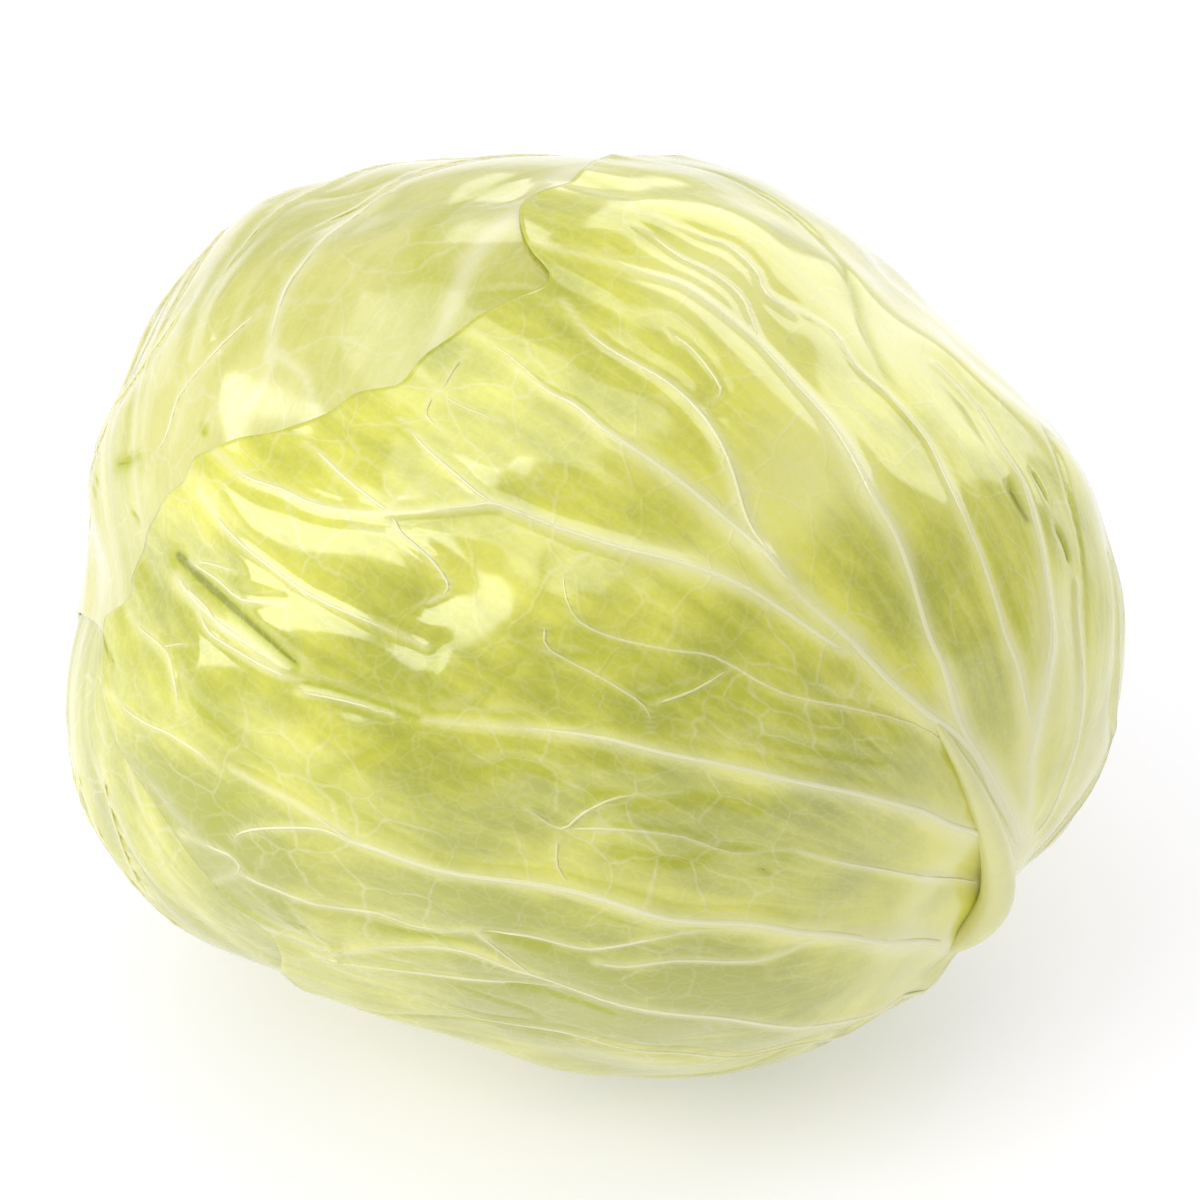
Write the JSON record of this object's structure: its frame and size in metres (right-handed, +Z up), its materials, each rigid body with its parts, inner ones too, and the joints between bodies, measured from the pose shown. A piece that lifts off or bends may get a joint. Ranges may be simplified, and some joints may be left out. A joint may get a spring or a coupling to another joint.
{
  "type": "cabbage head",
  "caption": "Head of white cabbage lying on its side: waved, ribbed wrapper leaves closed over each other round a dense heart, with a cut stalk.",
  "frame": {"origin": "middle of the head's footprint, on the surface that it lies on", "axes": "+X the way the cut stalk points, seen from above; +Z up; the head's broad side faces -Y, a little towards +X and up"},
  "size_m": [0.1994, 0.1759, 0.1704],
  "materials": {
    "heart": "satin",
    "stalk": "matte",
    "pale_leaf": "satin",
    "green_leaf": "satin"
  },
  "bodies": {
    "root": {"heart": "heart", "stalk": "stalk", "left_leaf": "pale_leaf", "back_leaf": "pale_leaf", "right_leaf": "pale_leaf", "under_leaf": "green_leaf", "top_leaf": "pale_leaf", "front_leaf": "green_leaf"}
  },
  "joints": []
}
